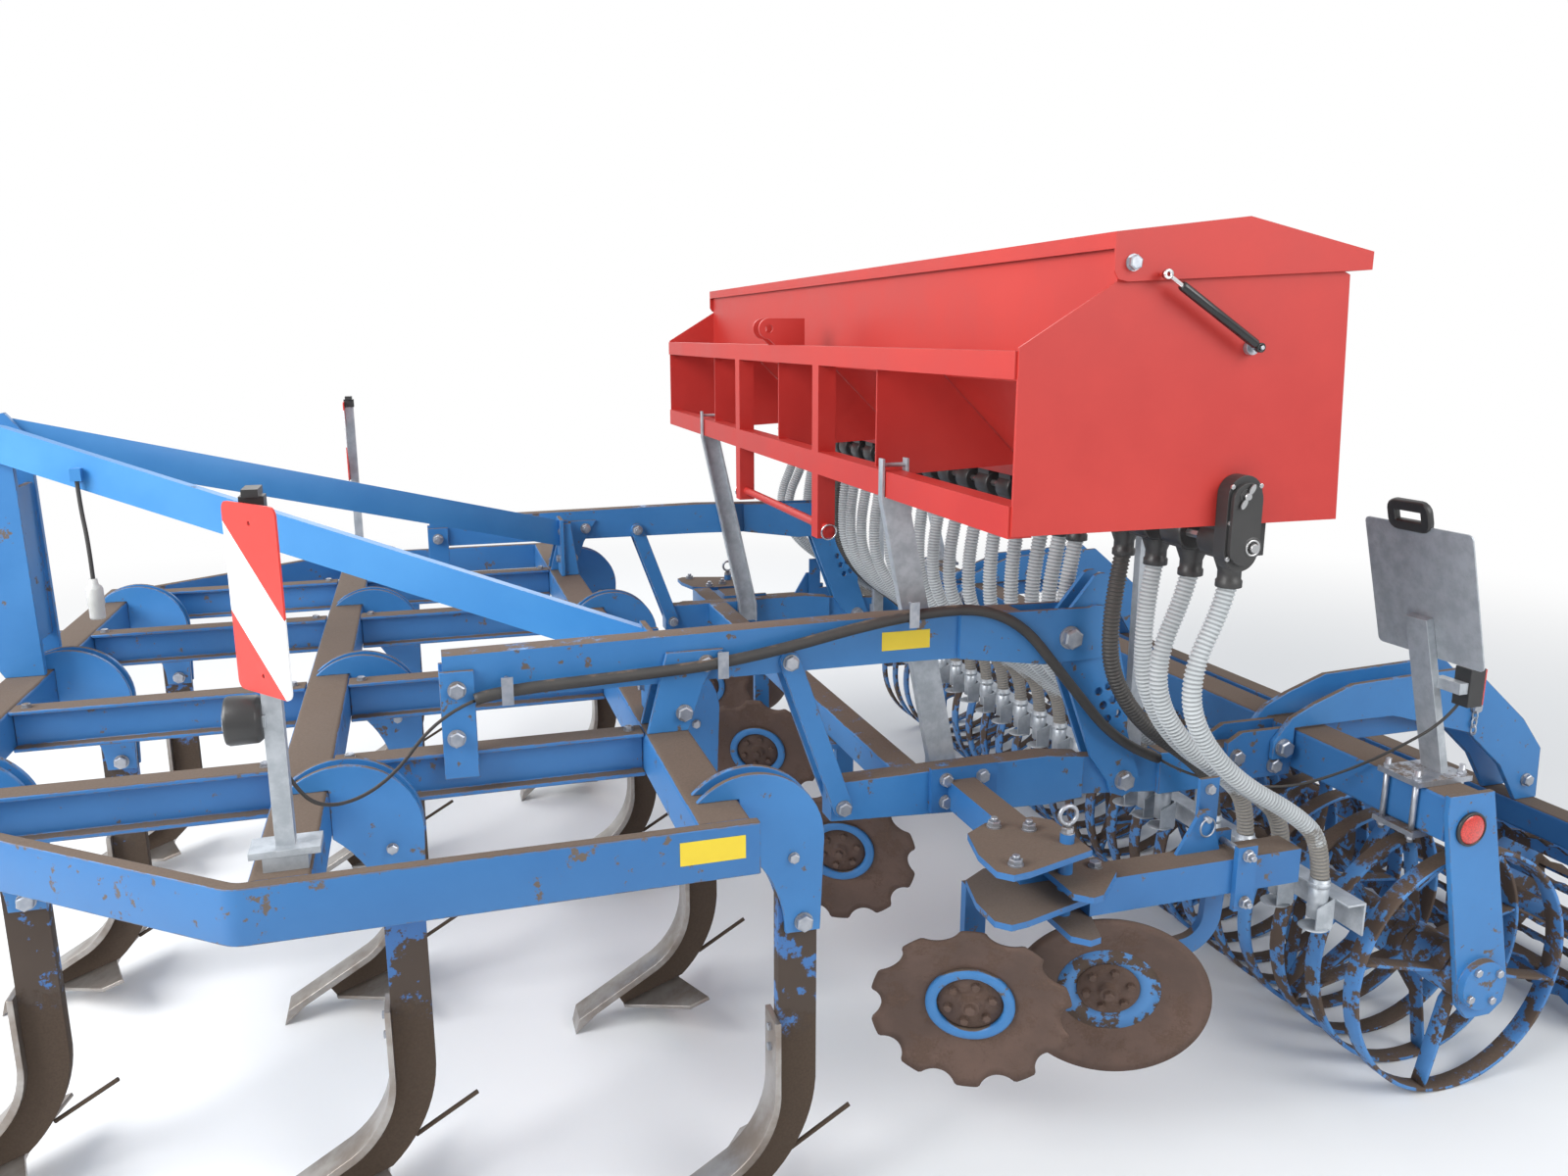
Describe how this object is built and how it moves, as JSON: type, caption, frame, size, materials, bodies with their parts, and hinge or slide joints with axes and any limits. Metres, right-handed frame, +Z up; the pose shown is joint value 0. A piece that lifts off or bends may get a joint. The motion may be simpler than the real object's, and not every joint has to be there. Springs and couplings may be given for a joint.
{
  "type": "field cultivator",
  "caption": "Mounted stubble cultivator with staggered tines, levelling discs, ring roller and cage roller, and a seed box with hoses over the linkage",
  "frame": {"origin": "centre of the footprint on the ground", "axes": "X forward to the tractor, Y to the left, Z up"},
  "size_m": [4.3701, 3.106, 2.027],
  "materials": {
    "blue_paint": "semi-gloss, dusty, worn at the edges",
    "worn_paint": "blue paint partly worn to brown steel",
    "worn_steel": "brown with dried soil, bright where it runs in the ground",
    "galvanised": "dull zinc",
    "red_paint": "semi-gloss powder coat",
    "hose_plastic": "ribbed, dusty",
    "black_plastic": "satin",
    "board_film": "red and white diagonal bands",
    "reflector_red": "moulded lens",
    "rubber": "matte",
    "plug_grey": "matte",
    "strut_black": "gloss",
    "strut_chrome": "polished"
  },
  "bodies": {
    "frame": {"front_tube": "blue_paint", "middle_tube": "blue_paint", "rear_tube": "blue_paint", "long_beams": "blue_paint", "side_rails": "blue_paint", "tine_carriers": "blue_paint", "mast": "blue_paint", "mast_braces": "blue_paint", "brace_brackets": "blue_paint", "link_brackets": "blue_paint", "upper_arms": "blue_paint", "arm_brackets": "blue_paint", "strap_links": "blue_paint", "hole_plates": "blue_paint", "lower_arms": "blue_paint", "disc_beam": "blue_paint", "disc_holders": "blue_paint", "edge_arms": "blue_paint", "roller_beam": "blue_paint", "roller_ends": "blue_paint", "arch_plates": "blue_paint", "cage_frame": "blue_paint", "tine_stems": "worn_paint", "shares": "worn_steel", "link_pins": "worn_steel", "strut_stud": "worn_steel", "seed_rail": "galvanised", "seed_sockets": "galvanised", "hopper_legs": "galvanised", "front_posts": "galvanised", "rear_posts": "galvanised", "rear_boards": "galvanised", "hopper_body": "red_paint", "hopper_beams": "red_paint", "seed_hoses": "hose_plastic", "metering_units": "black_plastic", "gearbox": "black_plastic", "front_lamps": "black_plastic", "rear_lamps": "black_plastic", "front_boards": "board_film", "reflectors": "reflector_red", "cable_sleeve": "rubber", "plug_cable": "rubber", "cable_plug": "plug_grey"},
    "front_roller_body": {"front_roller": "worn_paint"},
    "rear_roller_body": {"rear_roller": "worn_paint"},
    "lid_body": {"hopper_lid": "red_paint"},
    "strut_cylinder_body": {"strut_cylinder": "strut_black"},
    "strut_rod_body": {"strut_rod": "strut_chrome"},
    "disc_inner_left_body": {"disc_inner_left": "worn_steel"},
    "disc_inner_middle_body": {"disc_inner_middle": "worn_steel"},
    "disc_inner_right_body": {"disc_inner_right": "worn_steel"},
    "disc_edge_front_left_body": {"disc_edge_front_left": "worn_steel"},
    "disc_edge_rear_left_body": {"disc_edge_rear_left": "worn_steel"},
    "disc_edge_front_right_body": {"disc_edge_front_right": "worn_steel"},
    "disc_edge_rear_right_body": {"disc_edge_rear_right": "worn_steel"}
  },
  "joints": [
    {"name": "front_roller_spin", "type": "hinge", "parent": "frame", "child": "front_roller_body", "pos_m": [-1.31, 0, 0.315], "axis": [0, 1, 0], "continuous": true},
    {"name": "rear_roller_spin", "type": "hinge", "parent": "frame", "child": "rear_roller_body", "pos_m": [-1.993, 0, 0.2], "axis": [0, 1, 0], "continuous": true},
    {"name": "lid_hinge", "type": "hinge", "parent": "frame", "child": "lid_body", "pos_m": [-0.24, 0, 1.94], "axis": [0, 1, 0], "range_deg": [0, 75]},
    {"name": "strut_swing", "type": "hinge", "parent": "frame", "child": "strut_cylinder_body", "pos_m": [-0.512, 1.53, 1.79], "axis": [0, -1, 0], "range_deg": [0, 9.1]},
    {"name": "strut_slide", "type": "slide", "parent": "strut_cylinder_body", "child": "strut_rod_body", "axis": [0.8525, 0, 0.5228], "range_m": [0, 0.0636]},
    {"name": "disc_inner_left_spin", "type": "hinge", "parent": "frame", "child": "disc_inner_left_body", "pos_m": [-0.05, 0.55, 0.41], "axis": [0.4442, 0.8714, -0.2081], "continuous": true},
    {"name": "disc_inner_middle_spin", "type": "hinge", "parent": "frame", "child": "disc_inner_middle_body", "pos_m": [-0.05, -0.275, 0.41], "axis": [0.4442, 0.8714, -0.2081], "continuous": true},
    {"name": "disc_inner_right_spin", "type": "hinge", "parent": "frame", "child": "disc_inner_right_body", "pos_m": [-0.05, -1.1, 0.41], "axis": [0.4442, 0.8714, -0.2081], "continuous": true},
    {"name": "disc_edge_front_left_spin", "type": "hinge", "parent": "frame", "child": "disc_edge_front_left_body", "pos_m": [-0.06, 1.34, 0.405], "axis": [0.4442, 0.8714, -0.2081], "continuous": true},
    {"name": "disc_edge_rear_left_spin", "type": "hinge", "parent": "frame", "child": "disc_edge_rear_left_body", "pos_m": [-0.385, 1.368, 0.395], "axis": [0.4442, 0.8714, -0.2081], "continuous": true},
    {"name": "disc_edge_front_right_spin", "type": "hinge", "parent": "frame", "child": "disc_edge_front_right_body", "pos_m": [-0.06, -1.34, 0.405], "axis": [0.4442, -0.8714, -0.2081], "continuous": true},
    {"name": "disc_edge_rear_right_spin", "type": "hinge", "parent": "frame", "child": "disc_edge_rear_right_body", "pos_m": [-0.385, -1.368, 0.395], "axis": [0.4442, -0.8714, -0.2081], "continuous": true}
  ],
  "couplings": [
    {"joint": "strut_swing", "follows": "lid_hinge", "ratio": 0.1201},
    {"joint": "strut_slide", "follows": "lid_hinge", "m_per_rad": 0.0484}
  ]
}
